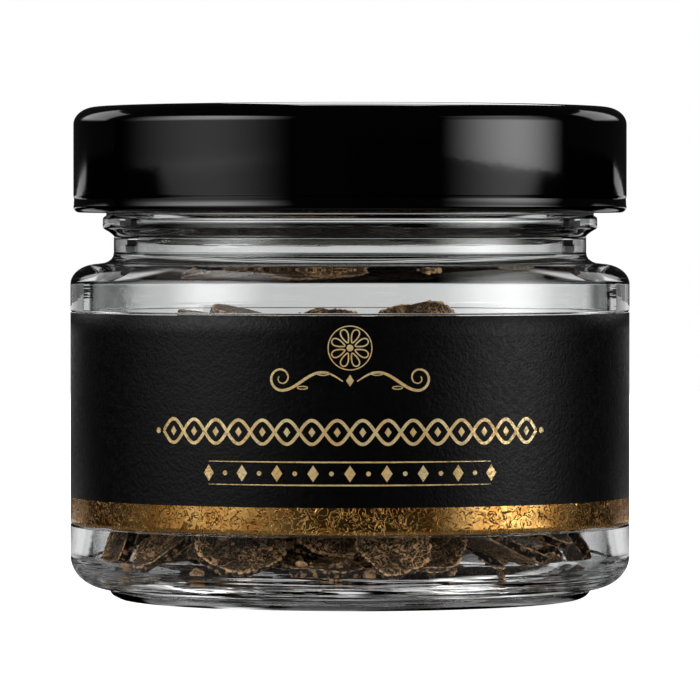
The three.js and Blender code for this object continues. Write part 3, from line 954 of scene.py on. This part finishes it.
def sideGlow(low, up, s):
    # Brightest down the card's own middle line, and brighter or duller away from the table's level.
    def glowOf(tree, across, along):
        rise = sums(tree, "POWER", band(tree, across, low, 0.0), s["tail"])
        fade = sums(tree, "MINIMUM", rise, band(tree, across, 0.0, up, 1.0, 0.0))
        level = band(tree, awayFrom(tree, along, 0.035), 0.04, 0.22, s["glow"], s["upper"])
        return sums(tree, "MULTIPLY", fade, level)
    return glowOf


def backGlow(tree, across, along):
    s = studio["back"]
    right = sums(tree, "MULTIPLY", across, -1.0)
    lit = band(tree, right, s["from"][0], s["to"][0], *s["glow"])
    bright = sums(tree, "MINIMUM", band(tree, right, *s["from"]), band(tree, right, *s["to"], 1.0, 0.0))
    dim = band(tree, along, *s["rise"], *s["dim"])
    return sums(tree, "ADD", sums(tree, "MULTIPLY", bright, sums(tree, "SUBTRACT", lit, dim)), dim)


def wingGlow(tree, across, along):
    s = studio["wings"]
    ends = band(tree, sums(tree, "ABSOLUTE", across), s["half"] * 0.7, s["half"], s["glow"], 0.0)
    return sums(tree, "MULTIPLY", ends, band(tree, along, -s["high"] / 2, -s["high"] / 4))


for side in ("left", "right"):
    s = studio[side]
    a, middleUp = math.radians(s["turn"]), studio["middleUp"]
    place = (studio["away"] * math.sin(a), -studio["away"] * math.cos(a), middleUp)
    low, up = (studio["away"] * math.tan(math.radians(edge)) for edge in s["spread"])
    glowCard(side + "Softbox", place, (0, 0, middleUp), low, up, studio["high"], sideGlow(low, up, s))
s = studio["back"]
backCard = glowCard("backCard", (0, s["distance"], 0), (0, 0, 0), -s["half"], s["half"], s["high"], backGlow)
backCard.visible_glossy = False
s = studio["wings"]
for side in (-1, 1):
    a = math.radians(side * s["turn"])
    place = (s["distance"] * math.sin(a), s["distance"] * math.cos(a), s["middle"])
    glowCard("wingCard", place, (0, 0, s["middle"]), -s["half"], s["half"], s["high"], wingGlow)
s = studio["top"]
panelLight("topPanel", s["place"], (0, 0, 0.06), s["wide"], s["deep"], s["power"]).visible_transmission = False
s = studio["corners"]
for side in (-1, 1):
    place = (side * s["place"][0], s["place"][1], s["place"][2])
    panelLight("cornerPanel", place, (0, 0, 0.05), s["wide"], s["high"], s["power"]).visible_glossy = False
for place, power in studio["fills"]:
    fill = panelLight("fillPanel", place, (0, 0, 0.02), 0.9, 0.3, power)
    fill.visible_glossy = fill.visible_transmission = False

# The floor is plain and pale to look at. Through the glass and in the gold it is partly dark, like
# polished stone in front, with pale fields behind. Distances are in metres from the jar's axis, and
# slants are sideways over backward; a pair is where a field starts and is full, or fades and ends.
floorLook = {
    "size": 6.0, "under": 0.00002, "glow": (0.8, 1.0), "glowFrom": (0.05, 0.3),
    "mirror": (0.95, 0.25), "mirrorAcross": (-0.06, 0.06), "mirrorFrom": (0.215, 0.255), "mirrorBack": (-0.15, -0.04),
    "behind": 0.72, "behindFrom": (0.0, 0.05), "besideSlant": ((0.35, 0.45), (1.1, 1.3)),
    "nearField": ((0.1, 0.12), (0.2, 0.25)), "farField": (0.75, 0.95), "farSlant": (0.57, 0.66),
    "farWider": (1.6, 1.9, 0.0, 0.16),
    "foot": 1.7, "streakPitch": 420.0, "streaks": (0.49, 0.58), "shelf": ((0.025, 0.0285), (0.0325, 0.0345)),
    "peakRise": (0.009, 0.014), "peakFall": (0.02, 0.025), "sideFrom": (0.031, 0.036), "sideTo": (0.058, 0.066),
    "sideGlow": (-0.012, 0.03, 0.04, 0.2), "curl": 0.12, "curlFrom": (0.037, 0.045), "curlTo": (0.075, 0.095),
    "through": 0.7, "throughFrom": (0.075, 0.09), "otherSlant": (1.25, 1.5), "otherBack": (0.0, 0.03),
    "bothWalls": (2.5, 3.5),
}
f = floorLook
floorPaint, tree, shader = newMaterial("floorPaint")
place = add(tree, "ShaderNodeSeparateXYZ", Vector=coordsOf(tree)).outputs
away = add(tree, "ShaderNodeVectorMath", operation="LENGTH", i0=coordsOf(tree)).outputs["Value"]
shader.inputs["Base Color"].default_value = (0.9, 0.9, 0.9, 1)
shader.inputs["Roughness"].default_value = 0.9
shader.inputs["Emission Color"].default_value = (1, 1, 1, 1)
tree.links.new(band(tree, away, *f["glowFrom"], *f["glow"]), shader.inputs["Emission Strength"])
polish = band(tree, place["X"], *f["mirrorAcross"], *f["mirror"])
front = band(tree, place["Y"], *f["mirrorBack"], 1.0, 0.0)
ahead = sums(tree, "MULTIPLY", band(tree, away, *f["mirrorFrom"], 0.08, 1.0), front)
stone = add(tree, "ShaderNodeBsdfGlossy", Color=sums(tree, "MULTIPLY", polish, ahead), Roughness=0.08)
aside = sums(tree, "ABSOLUTE", place["X"])
slant = sums(tree, "DIVIDE", aside, sums(tree, "MAXIMUM", place["Y"], 0.01))
# pale behind, seen through the glass: close by only at the sides, and again far off. Close behind the jar the floor
# stays black, a painted shadow.
beside = window(tree, slant, *f["besideSlant"])
near = window(tree, away, *f["nearField"])
wider = band(tree, away, *f["farWider"])
within = band(tree, sums(tree, "SUBTRACT", slant, wider), *f["farSlant"], 1.0, 0.0)
distant = sums(tree, "MULTIPLY", band(tree, away, *f["farField"]), within)
reach = sums(tree, "MAXIMUM", sums(tree, "MULTIPLY", beside, near), distant)
far = sums(tree, "MULTIPLY", reach, band(tree, place["Y"], *f["behindFrom"], 0.0, f["behind"]))
# painted light: long bright curves glow on the floor under the glass foot, where the foot would gather light
spin = sums(tree, "ARCTAN2", place["Y"], place["X"])
curves = add(
    tree, "ShaderNodeCombineXYZ",
    X=sums(tree, "SINE", spin), Y=sums(tree, "COSINE", spin), Z=sums(tree, "MULTIPLY", away, f["streakPitch"]),
)
streaks = band(tree, spots(tree, curves.outputs["Vector"], 1.0, 2.0, 0.5, 0.6), *f["streaks"], 0.0, 1.0)
peakFall = band(tree, aside, *f["peakFall"], 1.0, 0.0)
peak = sums(tree, "MINIMUM", band(tree, aside, *f["peakRise"]), peakFall)
brighter = sums(tree, "ADD", sums(tree, "MULTIPLY", peak, 1.3), 0.5)
shelf = sums(tree, "MULTIPLY", window(tree, away, *f["shelf"]), streaks)
frontArc = sums(tree, "MULTIPLY", shelf, brighter)
rim = sums(tree, "MULTIPLY", band(tree, aside, *f["sideFrom"]), band(tree, away, *f["sideTo"], 1.0, 0.0))
sideArc = sums(tree, "MULTIPLY", rim, band(tree, place["Y"], *f["sideGlow"]))
sideArc = sums(tree, "MULTIPLY", sideArc, sums(tree, "ADD", streaks, 0.5))
foot = sums(tree, "MULTIPLY", sums(tree, "MAXIMUM", frontArc, sideArc), f["foot"])
# painted light: a faint glowing ring on the floor round the jar, which the lid's curl shows as a pale line
curlFrom = band(tree, away, *f["curlFrom"])
curl = sums(tree, "MULTIPLY", band(tree, away, *f["curlTo"], f["curl"], 0.0), curlFrom)
foot = sums(tree, "MAXIMUM", foot, curl)
# the glass also shows a pale floor on the other sides, through both of its walls
rays = tree.nodes.new("ShaderNodeLightPath").outputs
otherBack = band(tree, place["Y"], *f["otherBack"], 1.0, 0.0)
elsewhere = sums(tree, "MAXIMUM", band(tree, slant, *f["otherSlant"]), otherBack)
bothWalls = band(tree, rays["Transmission Depth"], *f["bothWalls"])
through = sums(tree, "MULTIPLY", bothWalls, band(tree, away, *f["throughFrom"], 0.0, f["through"]))
foot = sums(tree, "MAXIMUM", foot, sums(tree, "MULTIPLY", elsewhere, through))
pale = add(tree, "ShaderNodeEmission", Strength=sums(tree, "MAXIMUM", far, foot))
under = add(tree, "ShaderNodeAddShader", i0=stone.outputs[0], i1=pale.outputs[0])
either = add(tree, "ShaderNodeMixShader", i0=rays["Is Camera Ray"], i1=under.outputs[0], i2=shader.outputs[0])
tree.links.new(either.outputs[0], tree.nodes["Material Output"].inputs["Surface"])
half = f["size"] / 2
floorMesh = bpy.data.meshes.new("floor")
corners = [(-half, -half, 0), (half, -half, 0), (half, half, 0), (-half, half, 0)]
floorMesh.from_pydata(corners, [], [(0, 1, 2, 3)])
floor = bpy.data.objects.new("floor", floorMesh)
bpy.context.scene.collection.objects.link(floor)
floor.location.z = -f["under"]
floorMesh.materials.append(floorPaint)

world = bpy.data.worlds.new("studio")
bpy.context.scene.world = world
world.use_nodes = True
tree = world.node_tree
plain = tree.nodes["Background"]
plain.inputs["Color"].default_value = (1, 1, 1, 1)
dim = add(tree, "ShaderNodeBackground", Color=(1, 1, 1, 1), Strength=studio["surround"])
rays = tree.nodes.new("ShaderNodeLightPath").outputs
either = add(tree, "ShaderNodeMixShader", i0=rays["Is Camera Ray"], i1=dim.outputs[0], i2=plain.outputs[0])
tree.links.new(either.outputs[0], tree.nodes["World Output"].inputs["Surface"])
bpy.context.scene.view_settings.view_transform = "Standard"
cycles = bpy.context.scene.cycles
cycles.transmission_bounces = cycles.max_bounces = cycles.transparent_max_bounces = studio["bounces"]
print("studio set")
